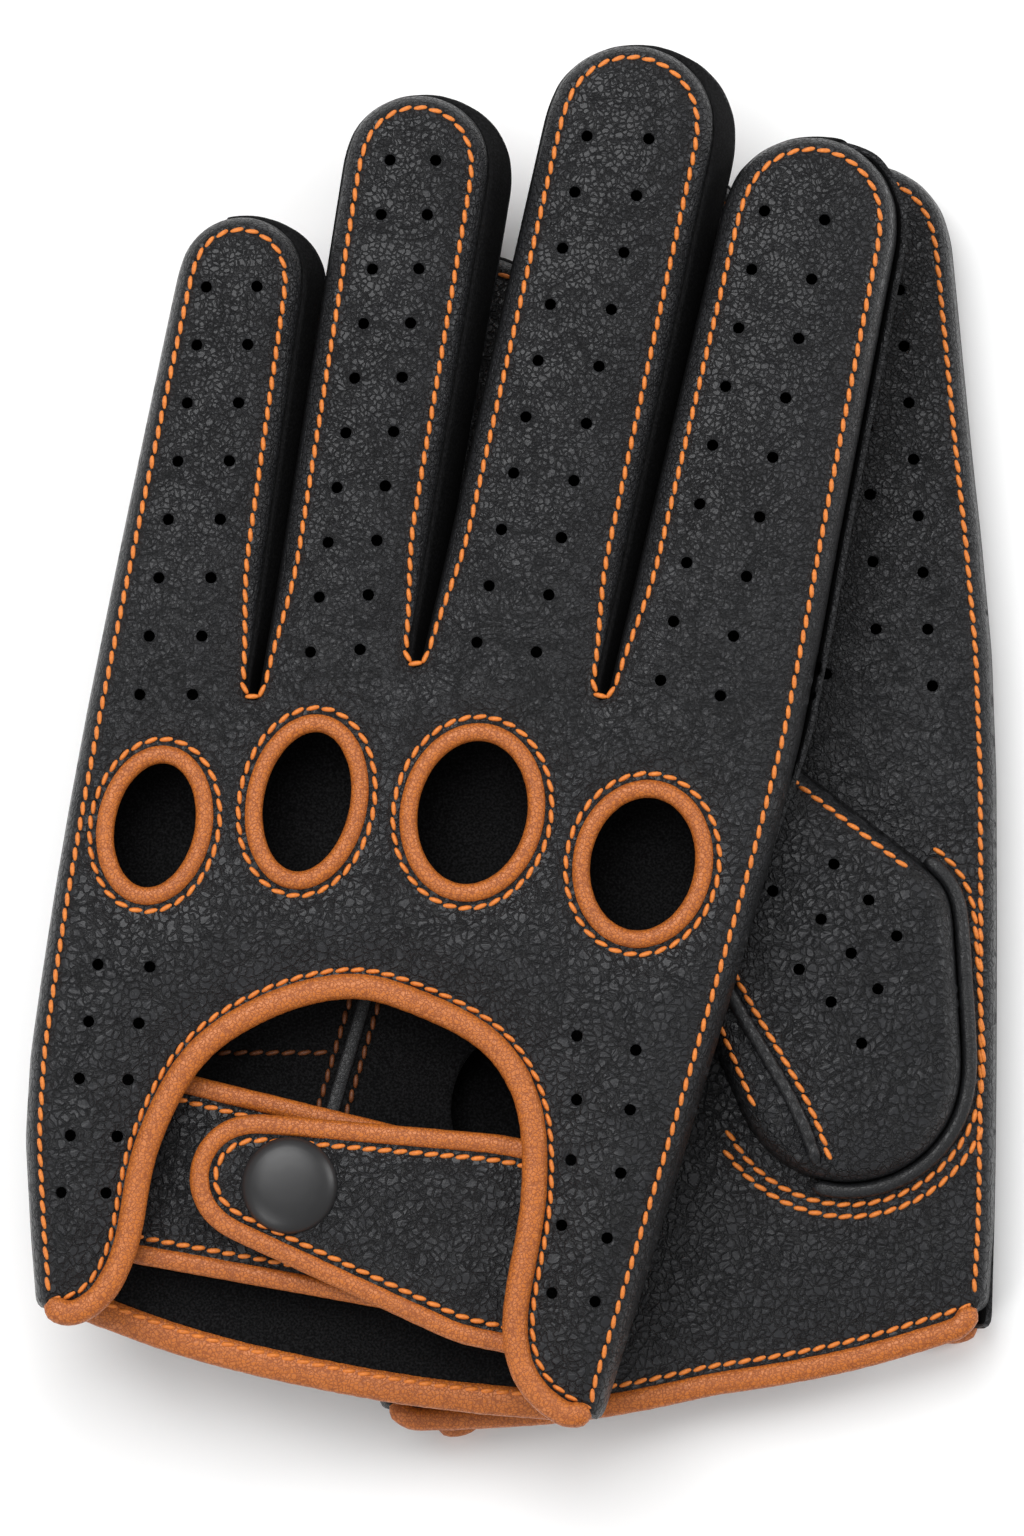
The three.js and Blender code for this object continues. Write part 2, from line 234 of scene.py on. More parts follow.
# Near-black copy of the hand leather for the finger walls: painted shade in the gaps between the
# fingers.
painted_shade_wall_leather = leather("painted_shade_wall_leather", (0.0004, 0.0004, 0.0005), (0.0010, 0.0010, 0.0012),
                       1300, None, 260, 0.75, 0.15, 0.12)
tan_leather = leather("tan_leather", (0.29, 0.068, 0.0075), (0.53, 0.150, 0.0200),
                      1500, None, 330, 0.42, 0.26, 0.5)
suede, suede_tree, suede_shader = new_finish("black_suede", (0.006, 0.006, 0.0065), 0.95)
nap = fine_relief(suede_tree, suede_shader, 2600.0, 4.0, 0.8, 0.0001)
tinted(suede_tree, suede_shader, nap, (0.42, (0.0012, 0.0012, 0.0014)),
       (0.75, (0.014, 0.014, 0.015)))
suede_shader.inputs["Specular IOR Level"].default_value = 0.15

thread, thread_tree, thread_shader = new_finish("orange_thread", (0.75, 0.20, 0.022), 0.55)
twist = fine_relief(thread_tree, thread_shader, 2200.0, 2.0, 0.5, 0.00008)
tinted(thread_tree, thread_shader, twist, (0.0, (0.45, 0.095, 0.010)), (1.0, (0.95, 0.30, 0.040)))

lacquer, lacquer_tree, lacquer_shader = new_finish("black_lacquer", (0.018, 0.018, 0.019), 0.38)
brass, brass_tree, brass_shader = new_finish("snap_brass", (0.55, 0.40, 0.18), 0.35, 1.0)
for tree, shader, low, high in ((lacquer_tree, lacquer_shader, 0.33, 0.45),
                                (brass_tree, brass_shader, 0.25, 0.45)):
    gloss = add_node(tree, "ShaderNodeMapRange", To_Min=low, To_Max=high)
    tree.links.new(fine_relief(tree, shader, 900.0, 3.0, 0.12, 0.00005), gloss.inputs["Value"])
    tree.links.new(gloss.outputs["Result"], shader.inputs["Roughness"])


# ---- Leather panels of the hands ----
# Each glove has a back panel and a palm panel, cut from one skin each and sewn together round
# the edge, so that the edge rolls over towards the seam. Small holes are punched for air.
MM = 0.001


def flat_loops(node, height):
    """The closed borders of a CAD node's faces that lie flat at a height, in millimetres."""
    mesh = frame["nodes"][node].data
    points = np.array([tuple(vertex.co) for vertex in mesh.vertices]) / MM
    keys = [tuple(key) for key in np.round(points[:, :2], 3)]
    level = np.abs(points[:, 2] - height / MM) < 0.01
    edges = {}
    for polygon in mesh.polygons:
        corners = list(polygon.vertices)
        if not all(level[corner] for corner in corners):
            continue
        for a, b in zip(corners, corners[1:] + corners[:1]):
            if keys[a] == keys[b]:
                continue
            if (keys[b], keys[a]) in edges:
                del edges[keys[b], keys[a]]
            else:
                edges[keys[a], keys[b]] = True
    following = {a: b for a, b in edges}
    loops = []
    while following:
        start = point = next(iter(following))
        loop = []
        while point in following:
            loop.append(point)
            point = following.pop(point)
        loops.append(np.array(loop))
    return sorted(loops, key=lambda loop: -abs(loop_area(loop)))


def outer_level(node, up):
    """Height of a CAD node's top, or of its underside where up is negative."""
    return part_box(node)[1 if up > 0 else 0][2] / MM


def loop_area(loop):
    x, y = loop[:, 0], loop[:, 1]
    return 0.5 * float(np.sum(x * np.roll(y, -1) - y * np.roll(x, -1)))


def spaced(line, spacing, closed=True):
    """The same line with points a set distance apart."""
    line = np.vstack([line, line[:1]]) if closed else line
    steps = np.linalg.norm(np.diff(line, axis=0), axis=1)
    along = np.concatenate([[0], np.cumsum(steps)])
    count = max(int(round(along[-1] / spacing)), 3)
    marks = np.linspace(0, along[-1], count + 1)
    result = np.stack([np.interp(marks, along, line[:, i]) for i in range(line.shape[1])], axis=1)
    return result[:-1] if closed else result


def softened(values, sigma, closed=True):
    """Values along a line, averaged with their neighbours."""
    reach = int(3 * sigma)
    weights = np.exp(-0.5 * (np.arange(-reach, reach + 1) / sigma) ** 2)
    weights /= weights.sum()
    flat = values.reshape(len(values), -1)
    mode = "wrap" if closed else "edge"
    padded = np.pad(flat, ((reach, reach), (0, 0)), mode=mode)
    columns = [np.convolve(padded[:, i], weights, "valid") for i in range(flat.shape[1])]
    return np.stack(columns, axis=1).reshape(values.shape)


def outward(line, closed=True):
    """Unit normals to the right of a line's direction: outward on a counter-clockwise loop."""
    if closed:
        direction = np.roll(line, -1, 0) - np.roll(line, 1, 0)
    else:
        direction = np.gradient(line, axis=0)
    direction = direction / np.maximum(np.linalg.norm(direction, axis=1, keepdims=True), 1e-9)
    return np.stack([direction[:, 1], -direction[:, 0]], axis=1)


def counter_clockwise(loop):
    return loop if loop_area(loop) > 0 else loop[::-1]


def inside(points, loop):
    """Which points lie inside a closed loop."""
    result = np.zeros(len(points), bool)
    ends = np.roll(loop, -1, 0)
    for (x1, y1), (x2, y2) in zip(loop, ends):
        crosses = (y1 > points[:, 1]) != (y2 > points[:, 1])
        if y1 != y2:
            result ^= crosses & (points[:, 0] < (x2 - x1) * (points[:, 1] - y1) / (y2 - y1) + x1)
    return result


def nearest(line):
    """A finder of the distance to a line of points and the index of its nearest point."""
    tree = kdtree.KDTree(len(line))
    for i, point in enumerate(line):
        tree.insert((point[0], point[1], 0), i)
    tree.balance()

    def find(points):
        found = [tree.find((x, y, 0)) for x, y in points]
        return np.array([f[2] for f in found]), np.array([f[1] for f in found])
    return find


def triangulated(outline, holes, rings, grid):
    """Triangles that fill an outline with holes, with extra points near its borders."""
    points, edges = [], []

    def add_loop(loop):
        first = len(points)
        points.extend(map(tuple, loop))
        count = len(loop)
        edges.extend((first + i, first + (i + 1) % count) for i in range(count))

    add_loop(outline)
    for hole in holes:
        add_loop(hole)
    border = np.vstack([outline] + list(holes))
    find = nearest(border)
    normals = outward(outline)
    extra = [outline - normals * distance for distance in rings]
    for hole in holes:
        small = abs(loop_area(hole)) < 12
        for distance in ((0.5,) if small else rings[:6]):
            extra.append(hole + outward(hole) * distance)
    extra = np.vstack(extra)
    low, high = outline.min(0), outline.max(0)
    xs = np.arange(low[0], high[0], grid)
    ys = np.arange(low[1], high[1], grid * 0.866)
    lattice = np.array([(x + (grid / 2 if i % 2 else 0), y) for i, y in enumerate(ys) for x in xs])
    away, _ = find(lattice)
    lattice = lattice[away > rings[-1] * 0.75]
    away, _ = find(extra)
    extra = extra[away > 0.42]
    cells, kept = set(), []
    for point in extra:
        cell = (round(point[0] / 0.42), round(point[1] / 0.42))
        if cell not in cells:
            cells.add(cell)
            kept.append(point)

    def on_leather(spots):
        ok = inside(spots, outline)
        for hole in holes:
            near = np.all((spots > hole.min(0) - 0.1) & (spots < hole.max(0) + 0.1), axis=1)
            index = np.flatnonzero(near & ok)
            if len(index):
                ok[index[inside(spots[index], hole)]] = False
        return ok

    inner = np.vstack([np.array(kept), lattice])
    points.extend(map(tuple, inner[on_leather(inner)]))
    result = geometry.delaunay_2d_cdt([Vector(p) for p in points], edges, [], 0, 1e-4)
    flat = np.array([tuple(v) for v in result[0]])
    faces = np.array(result[2])
    return flat, faces[on_leather(flat[faces].mean(1))]


def make_mesh(name, points, faces, finishes):
    """A mesh object from points in millimetres."""
    mesh = bpy.data.meshes.new(name)
    mesh.from_pydata([tuple(p) for p in np.asarray(points) * MM], [], [list(f) for f in faces])
    mesh.validate()
    piece = bpy.data.objects.new(name, mesh)
    bpy.context.collection.objects.link(piece)
    for finish in finishes:
        mesh.materials.append(finish)
    mesh.polygons.foreach_set("use_smooth", [True] * len(mesh.polygons))
    mesh.update()
    return piece


def thicken(piece, thickness):
    """Gives a sheet its thickness, away from its normals, with its lining inside."""
    solidify = piece.modifiers.new("thickness", "SOLIDIFY")
    solidify.thickness = thickness * MM
    solidify.offset = -1
    solidify.use_even_offset = False
    solidify.material_offset = 1
    solidify.material_offset_rim = 0
    bpy.context.view_layer.objects.active = piece
    bpy.ops.object.modifier_apply(modifier="thickness")


def crumple(points, scale, seed):
    """Soft creases: noise from -1 to 1 at each point."""
    return np.array([noise.fractal((x / scale + seed, y / scale, seed), 0.7, 2.1, 3)
                     for x, y in points])


SNAP_AT = (-10.3, 28.4)        # the snap's centre in the glove's own axes


def joint(name):
    return next(item for item in frame["joints"] if item["name"] == name)


class Glove:
    """Where one glove lies: its own axes, and its outside levels, in millimetres."""

    def __init__(self, side):
        self.side = side
        self.up = 1 if side == "left" else -1
        hinge = joint(f"{side}_strap_hinge")
        self.along = np.array(hinge["axis"][:2]) * self.up
        self.across = np.array([self.along[1], -self.along[0]])
        low, high = (np.array(corner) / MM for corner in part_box(f"{side}_snap_cap"))
        self.origin = ((low + high) / 2)[:2] - self.world(np.array([SNAP_AT]), False)[0]
        self.back = outer_level(f"{side}_back_panel", self.up)
        self.palm = outer_level(f"{side}_palm_panel", -self.up)

    def world(self, points, move=True):
        points = np.asarray(points, float)
        placed = points[:, :1] * self.across + points[:, 1:2] * self.along
        return placed + self.origin if move else placed

    def local(self, points):
        offset = np.asarray(points) - self.origin
        return np.stack([offset @ self.across, offset @ self.along], axis=1)

    def extent(self, line):
        """Width and length of a line in the glove's own axes."""
        place = self.local(line)
        return place.max(0) - place.min(0)

    def settled(self, part, points):
        """Where a cut edge comes to lie: the palm side fans out, and the cuffs pull in."""
        x, y = self.local(points).T
        if self.side == "left" and part == "palm":
            fan = step(y, 96, 122) * step(x, -58, -44) * (1 - 0.5 * step(x, 46, 56))
            lift = step(x, -49, -40) * (1 - step(x, 20, 49)) * (1 - step(y, 0, 18))
            x, y = x + PALM_FAN * fan, y + 0.9 * lift
        if self.side == "right":
            pull = (1 - step(y, -4, 34)) * np.interp(x, *RIGHT_CUFF)
            flare = (1 - step(x, -48, -20)) * (1 - step(y, 0, 20)) * (part == "palm")
            x, y = x - 9.5 * flare, y + pull
        return self.world(np.stack([x, y], axis=1))


def step(values, low, high):
    t = np.clip((values - low) / (high - low), 0, 1)
    return t * t * (3 - 2 * t)


PALM_FAN = 3.4                 # the palm side of each finger shows beside its back
RIGHT_CUFF = ((-48, -30, 0, 48), (-6.0, -3.6, 0.8, 3.2))
left = Glove("left")
right = Glove("right")

LEATHER = 1.0
ROLL = 3.2                     # width of the rolled edge, up to the stitching
GAP_DROP = 3.4                 # how far the edge rolls down between two fingers
SIDE_DROP = 7.0                # and along the outer sides, where the two panels meet
STITCH_LINE = 3.0
# How far each panel stands up in its middle: the lower glove's back lies flat on the table
CROWNS = {("left", "back"): 1.6, ("left", "palm"): 0.1, ("right", "palm"): 0.5,
          ("right", "back"): 0.0}
RINGS = (0.35, 0.8, 1.35, 1.95, 2.5, 2.85, 3.2, 3.6, 4.3, 5.3)
GRID = 1.55
PINCH = 24                     # length over which the stitching closes in at a crotch
TURNED_EDGE = 2.0              # leather taken up by the roll, beyond the outline
HOLE_RADIUS = 1.0


def punched(centres):
    angles = np.linspace(0, 2 * np.pi, 11)[:-1]
    ring = np.stack([np.cos(angles), np.sin(angles)], axis=1) * HOLE_RADIUS
    return [ring + centre for centre in centres]


class Panel:
    """One big panel of a glove: its borders, its rolled surface and its mesh."""

    def __init__(self, glove, part, holes):
        self.glove = glove
        self.level = glove.back if part == "back" else glove.palm
        self.up = glove.up if part == "back" else -glove.up
        self.name = f"{glove.side}_{part}_panel"
        loops = flat_loops(self.name, self.level * MM)
        outline = spaced(counter_clockwise(loops[0]), 0.9)
        self.plan = spaced(softened(outline, 1.7), 0.85)
        self.outline = glove.settled(part, self.plan)
        self.cut_outs = [softened(spaced(counter_clockwise(loop), 0.9), 1.5) for loop in loops[1:]]
        self.punched = punched(glove.world(holes)) if len(holes) else []
        self.crown = CROWNS[glove.side, part]
        place = glove.local(self.plan)
        beyond = place + (outward(self.plan) @ np.stack([glove.across, glove.along], 1))
        facing = (beyond - place)[:, 1]
        x, y = place[:, 0], place[:, 1]
        between = (np.abs(x) < 51) & (y > 99) & ((y < 122) | (facing < 0.55))
        between &= ~((x < -54) | (x > 54))
        self.between = softened(between.astype(float), 5)
        if part == "back":
            raw = (y < 67) & (x > -46.5 - y * 0.05) & (x < 46.5) & ((y < 1.5) | (np.abs(x) < 42))
        else:
            raw = (y < 4) & (np.abs(x) < 47.5)
        self.seam = softened((~raw).astype(float), 2.5)
        valley = (between & (y < np.roll(y, 12)) & (y < np.roll(y, -12)) & (np.abs(facing) > 0.8))
        away, _ = nearest(self.plan[valley])(self.plan)
        self.spread = step(away, 1, PINCH)
        self.find = nearest(self.outline)
        bound = [self.outline[raw]] + self.cut_outs
        self.find_bound = nearest(np.vstack(bound))

    def surface(self, points):
        """Height of the panel's outside at points, above or below its level."""
        edge, index = self.find(points)
        bound, _ = self.find_bound(points)
        seam = self.seam[index]
        drop = SIDE_DROP + (GAP_DROP - SIDE_DROP) * self.between[index]
        spread = self.spread[index]
        drop = drop * (0.5 + 0.5 * spread)
        t = np.clip(1 - edge / (ROLL * (0.3 + 0.7 * spread)), 0, 1)
        roll = drop * (1 - np.sqrt(np.clip(1 - t ** 2.2, 0, 1)))
        crown = self.crown * (1 - np.exp(-np.clip(edge - 1, 0, None) / 4.5)) * seam
        crown += self.crown * (1 - np.exp(-edge / 9)) * (1 - seam)
        crown *= 1 - 0.55 * np.exp(-(bound / 5) ** 2)
        groove = 0.40 * np.exp(-((edge - self.stitch_line(spread)) / 0.5) ** 2) * seam
        groove += 0.30 * np.exp(-((bound - 1.5) / 0.5) ** 2)
        creases = crumple(points, 7, 3.1 + self.level) * 0.12 + crumple(points, 2.6, 9.7) * 0.05
        creases *= np.clip(edge / 3, 0, 1)
        if self.crown == 0:
            creases -= 0.3
        height = crown - roll * seam - groove + creases
        return self.level + self.up * height

    def stitch_line(self, spread):
        """Distance of the stitching from the edge: it closes in where two fingers part."""
        return STITCH_LINE * (0.3 + 0.7 * spread)

    def build(self):
        holes = self.cut_outs + self.punched
        flat, faces = triangulated(self.outline, holes, RINGS, GRID)
        if self.up < 0:
            faces = faces[:, ::-1]
        points = np.column_stack([flat, self.surface(flat)])
        piece = make_mesh(self.name + "_leather", points, faces, [hand_leather, suede])
        thicken(piece, LEATHER)
        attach(piece, f"{self.glove.side}_glove")
        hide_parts(self.name)
        cut = (self.glove.extent(self.outline) + 2 * TURNED_EDGE) * MM
        area = abs(loop_area(self.outline)) - sum(abs(loop_area(hole)) for hole in self.cut_outs)
        area += np.linalg.norm(np.diff(self.outline, axis=0), axis=1).sum() * TURNED_EDGE
        return piece


def hole_columns(rows, *columns):
    """Columns of punched holes, each evenly spaced between its two ends."""
    return [np.array(top) + (np.array(foot) - np.array(top)) * row / (rows - 1)
            for top, foot in columns for row in range(rows)]


left_back_holes = (
    hole_columns(8, ((-53.2, 171.6), (-50.5, 103.0)), ((-44.9, 173.3), (-41.9, 104.7)))
    + hole_columns(10, ((-27.4, 198.2), (-24.2, 115.4)), ((-19.9, 199.6), (-16.2, 117.4)))
    + hole_columns(10, ((3.9, 208.4), (2.5, 122.3)), ((14.1, 209.9), (12.5, 122.6)))
    + hole_columns(9, ((35.2, 201.8), (33.5, 122.0)), ((45.3, 202.2), (43.7, 121.4)))
    + hole_columns(5, ((-48.4, 57.9), (-46.9, 19.9)), ((-39.9, 59.2), (-39.6, 21.3)))
    + [np.array(at) for at in (
        (31.4, 61.8), (33.4, 51.5), (34.4, 41.6), (35.0, 30.8), (35.6, 19.6),
        (41.4, 61.4), (42.4, 51.6), (42.9, 41.1), (42.8, 30.2), (42.9, 19.6))]
)
left_back = Panel(left, "back", left_back_holes)
left_back.build()
left_palm = Panel(left, "palm", [])
left_palm.build()
right_palm_holes = (
    hole_columns(9, ((48.0, 188.6), (47.4, 111.8)))
    + hole_columns(6, ((41.4, 179.0), (38.8, 122.2)))
    + hole_columns(2, ((30.6, 136.0), (29.8, 115.4)))
)
right_palm = Panel(right, "palm", right_palm_holes)
right_palm.build()
right_back = Panel(right, "back", [])
right_back.build()


# ---- Finger gussets ----
# Narrow strips of the same leather between neighbouring fingers, coloured near black as painted
# shade. Each runs down one finger's side, round the crotch and up the next finger, and is sewn to
# the back and to the palm.
def runs(flags):
    """Stretches of a closed line where flags are set, as lists of indices in order."""
    count = len(flags)
    if flags.all():
        return [list(range(count))]
    start = int(np.flatnonzero(~flags)[0])
    result, current = [], []
    for passed in range(count):
        i = (start + passed) % count
        if flags[i]:
            current.append(i)
        elif current:
            result.append(current)
            current = []
    if current:
        result.append(current)
    return result


def strip_mesh(name, rows, finishes, closed=False):
    """A sheet through rows of points, each row as long as the others."""
    rows = [np.asarray(row) for row in rows]
    count = len(rows[0])
    points = np.vstack(rows)
    faces = []
    for i in range(len(rows) - 1):
        for j in range(count if closed else count - 1):
            k = (j + 1) % count
            faces.append((i * count + j, i * count + k, (i + 1) * count + k, (i + 1) * count + j))
    return make_mesh(name, points, faces, finishes)


def gussets(back, palm):
    glove = back.glove
    slits = [run for run in runs(softened((back.between > 0.1).astype(float), 6) > 0.02)
             if len(run) > 60]
    slits.sort(key=lambda run: glove.local(back.outline[run])[:, 0].mean())
    names = ("little_ring", "ring_middle", "middle_index")
    for name, run in zip(names, slits):
        top = back.outline[run]
        foot = glove.settled("palm", back.plan[run])
        normal = outward(back.plan)[run]
        between = back.between[run]
        drop = (SIDE_DROP + (GAP_DROP - SIDE_DROP) * between) * (0.5 + 0.5 * back.spread[run]) - 0.9
        upper = back.level - back.up * drop
        lower = palm.level - palm.up * drop
        rows = []
        for t in np.linspace(0, 1, 8):
            bulge = -0.85 + 0.5 * math.sin(math.pi * t)
            z = upper + (lower - upper) * t
            flat = top + (foot - top) * t + normal * bulge
            rows.append(np.column_stack([flat, z]))
        if back.up < 0:
            rows = rows[::-1]
        piece = strip_mesh(f"{glove.side}_{name}_gusset_leather", rows, [painted_shade_wall_leather, suede])
        thicken(piece, 0.8)
        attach(piece, f"{glove.side}_glove")
        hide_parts(f"{glove.side}_{name}_gusset")


gussets(left_back, left_palm)
gussets(right_back, right_palm)


# ---- Orange topstitching ----
# Thick twisted thread in short slanting stitches, sunk into the leather at both ends. It holds
# the seams round the hand and fingers, the bindings and the straps.
STITCH_PITCH = 2.55
STITCH_LENGTH = 2.32
STITCH_WIDTH = 0.84
STITCH_HEIGHT = 0.40
STITCH_SLANT = 11              # degrees


def stitches(name, path, body, up=1, closed=False):
    """One row of stitches along a path in space."""
    line = spaced(path, STITCH_PITCH, closed)
    if not closed:
        line = (line[:-1] + line[1:]) / 2
    ahead = np.roll(line, -1, 0) - np.roll(line, 1, 0)
    if not closed:
        ahead[0], ahead[-1] = line[1] - line[0], line[-1] - line[-2]
    ahead /= np.linalg.norm(ahead, axis=1, keepdims=True)
    sky = np.array([0, 0, float(up)])
    beside = np.cross(sky, ahead)
    beside /= np.linalg.norm(beside, axis=1, keepdims=True)
    slant = math.radians(STITCH_SLANT)
    along = ahead * math.cos(slant) + beside * math.sin(slant)
    across = beside * math.cos(slant) - ahead * math.sin(slant)
    stations = ((-1, 0.25), (-0.82, 0.72), (-0.35, 1), (0.35, 1), (0.82, 0.72), (1, 0.25))
    sides = 6
    points, faces = [], []
    for centre, a, b in zip(line, along, across):
        first = len(points)
        for u, size in stations:
            sink = -0.16 * u ** 4
            for k in range(sides):
                angle = 2 * math.pi * k / sides
                width = math.cos(angle) * STITCH_WIDTH / 2 * size
                rise = math.sin(angle) * STITCH_HEIGHT * size + sink
                points.append(centre + a * u * STITCH_LENGTH / 2 + b * width + sky * rise)
        for i in range(len(stations) - 1):
            for k in range(sides):
                n = (k + 1) % sides
                faces.append((first + i * sides + k, first + i * sides + n,
                              first + (i + 1) * sides + n, first + (i + 1) * sides + k))
        faces.append(tuple(first + k for k in reversed(range(sides))))
        faces.append(tuple(first + (len(stations) - 1) * sides + k for k in range(sides)))
    if up > 0:
        faces = [face[::-1] for face in faces]
    piece = make_mesh(name, points, faces, [thread])
    if body:
        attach(piece, body)
    return piece


def on_panel(panel, flat, rise=0.12):
    return np.column_stack([flat, panel.surface(flat) + panel.up * rise])


def edge_stitching(panel, inset, label, wanted):
    """Stitches that follow a stretch of a panel's border, a set distance inside it."""
    chosen = max(runs(wanted), key=len)
    inset = np.reshape(inset, (-1, 1))
    line = (panel.outline - outward(panel.outline) * inset)[chosen]
    line = spaced(softened(spaced(line, 0.5, False), 2.0, False), 0.5, False)
    body = f"{panel.glove.side}_glove"
    stitches(f"{panel.name}_{label}", on_panel(panel, line), body, panel.up)


for panel in (left_back, left_palm, right_palm, right_back):
    edge_stitching(panel, panel.stitch_line(panel.spread), "seam_stitching", panel.seam > 0.5)
    edge_stitching(panel, 1.5, "wrist_stitching", panel.seam < 0.5)


# ---- Tan bindings ----
# Strips of smooth tan leather folded round every raw edge: the knuckle holes, the half-moon,
# the palm's cuff and the straps. They stand proud of the panel as a soft round roll.
TUCK_LENGTH = 4.0
TUCK_INSET = 1.2               # how far inside the leather's corner a roll ends


def tucked(line, amount):
    """A line moved outwards that comes back in over its last few millimetres."""
    steps = np.linalg.norm(np.diff(line, axis=0), axis=1)
    along = np.concatenate([[0], np.cumsum(steps)])
    near_end = np.clip(1 - np.minimum(along, along[-1] - along) / TUCK_LENGTH, 0, 1) ** 2
    return line + outward(line, False) * (amount - (amount + TUCK_INSET) * near_end)[:, None]


def at_height(line, height):
    return np.column_stack([line, np.full(len(line), height)])


def close_up(piece, merge=False):
    """Turns every face outwards. With merge, doubled points go and the open end is filled."""
    bpy.ops.object.select_all(action="DESELECT")
    piece.select_set(True)
    bpy.context.view_layer.objects.active = piece
    bpy.ops.object.mode_set(mode="EDIT")
    bpy.ops.mesh.select_all(action="SELECT")
    if merge:
        bpy.ops.mesh.remove_doubles(threshold=1e-7)
        bpy.ops.mesh.fill_holes(sides=64)
    bpy.ops.mesh.normals_make_consistent(inside=False)
    bpy.ops.object.mode_set(mode="OBJECT")
    piece.select_set(False)


def rolled(name, path, width, height, finish, body, up=1, closed=False, node=None):
    """A soft roll along a path, with faint creases across it and closed ends."""
    line = spaced(path, 0.8, closed)
    count = len(line)
    if closed:
        ahead = np.roll(line, -1, 0) - np.roll(line, 1, 0)
    else:
        ahead = np.gradient(line, axis=0)
    ahead /= np.linalg.norm(ahead, axis=1, keepdims=True)
    sky = np.array([0, 0, float(up)])
    beside = np.cross(sky, ahead)
    beside /= np.linalg.norm(beside, axis=1, keepdims=True)
    above = np.cross(ahead, beside)
    size = np.ones(count)
    if not closed:
        ends = np.minimum(np.arange(count), np.arange(count)[::-1])
        size = np.sqrt(np.clip((ends + 0.6) / 2.6, 0, 1))
    crease = np.array([noise.noise((p[0] / 1.1, p[1] / 1.1, 5.5)) for p in line])
    size = size * (1 + 0.035 * crease)
    sides = 14
    rows = []
    for k in range(sides):
        angle = 2 * math.pi * k / sides
        c, d = math.cos(angle), math.sin(angle)
        c = math.copysign(abs(c) ** 0.8, c)
        d = math.copysign(abs(d) ** 0.9, d)
        rows.append(line + beside * (c * width / 2 * size)[:, None]
                    + above * (d * height / 2 * size)[:, None])
    points = np.vstack(rows)
    faces = []
    for k in range(sides):
        n = (k + 1) % sides
        for j in range(count if closed else count - 1):
            m = (j + 1) % count
            faces.append((k * count + j, k * count + m, n * count + m, n * count + j))
    if not closed:
        faces.append(tuple(k * count for k in range(sides)))
        faces.append(tuple(k * count + count - 1 for k in reversed(range(sides))))
    piece = make_mesh(name, points, faces, [finish])
    close_up(piece)
    if body:
        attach(piece, body)
    if node:
        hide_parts(node)
    return piece


RING_WIDTH = 3.0
RING_HEIGHT = 2.8
MOON_WIDTH = 4.2
MOON_HEIGHT = 3.2
CUFF_HEIGHT = 2.9
# How high the middle of a roll lies. Under the lower glove it is pressed up into the leather.
RING_LEVEL = {1: 0.35, -1: 1.2}
MOON_LEVEL = {1: 0.3, -1: 1.3}
BAND_RISE = 1.72               # the thread on the upper glove's cuff roll, above its palm level

for panel in (left_back, right_back):
    side = panel.glove.side
    body = f"{side}_glove"
    names = ("little", "ring", "middle", "index")
    order = sorted(panel.cut_outs, key=lambda hole: panel.glove.local(hole)[:, 0].mean())
    for name, hole in zip(names, order):
        ring = hole - outward(hole) * 1.0
        rolled(f"{side}_{name}_knuckle_roll", at_height(ring, panel.level + RING_LEVEL[panel.up]),
               RING_WIDTH, RING_HEIGHT, tan_leather, body, panel.up, True,
               f"{side}_{name}_knuckle_binding")
        loop = hole + outward(hole) * 1.5
        stitches(f"{side}_{name}_knuckle_stitching", on_panel(panel, loop), body, panel.up, True)
    chosen = max(runs(panel.seam < 0.45), key=len)
    moon = tucked(panel.outline[chosen], 1.3)
    rolled(f"{side}_half_moon_roll", at_height(moon, panel.level + MOON_LEVEL[panel.up]),
           MOON_WIDTH, MOON_HEIGHT, tan_leather, body, panel.up, False,
           f"{side}_half_moon_binding")

for panel, width in ((left_palm, 5.2), (right_palm, 3.9)):
    side, body = panel.glove.side, f"{panel.glove.side}_glove"
    chosen = max(runs(panel.seam < 0.45), key=len)
    cuff = tucked(softened(panel.outline[chosen], 2.0, False), 1.5)
    rolled(f"{side}_palm_cuff_roll", at_height(cuff, panel.level - panel.up * 0.5),
           width, CUFF_HEIGHT, tan_leather, body, panel.up, False, f"{side}_palm_cuff_binding")
cuff = left_palm.outline[max(runs(left_palm.seam < 0.5), key=len)]
cuff = softened(cuff + outward(cuff, False) * 0.1, 2.0, False)
stitches("left_cuff_band_stitching", at_height(cuff, left_palm.level + BAND_RISE), "left_glove", 1)


# ---- Seam inside the upper glove's palm ----
# The two halves of the lining meet in a turned seam, sewn down on both sides. It shows through
# the half-moon.
def inside_palm(points, rise):
    flat = left.world(spaced(np.array(points, float), 0.8, False))
    return np.column_stack([flat, left_palm.surface(flat) + LEATHER + rise])


rolled("left_lining_seam", inside_palm(((-7.0, 36.0), (-3.6, 74.0)), 0.1), 2.4, 1.0, edge_leather,
       "left_glove")
# The lining stitches take a darker copy of the orange thread, from deep brown to dark orange.
dark_lining_thread = thread.copy()
dark_lining_thread.name = "dark_lining_thread"
lining_ramp = next(node for node in dark_lining_thread.node_tree.nodes if node.type == "VALTORGB")
lining_ramp.color_ramp.elements[0].color = (0.05, 0.014, 0.003, 1)
lining_ramp.color_ramp.elements[1].color = (0.22, 0.060, 0.010, 1)
for row, (foot, top) in enumerate((((-9.4, 36.0), (-6.0, 74.0)), ((-4.6, 36.0), (-1.2, 74.0)),
                                   ((-30.0, 47.0), (-9.0, 51.2)))):
    lining_thread = stitches(f"left_lining_stitching_{row}", inside_palm((foot, top), 0.1),
                             "left_glove")
    lining_thread.data.materials[0] = dark_lining_thread


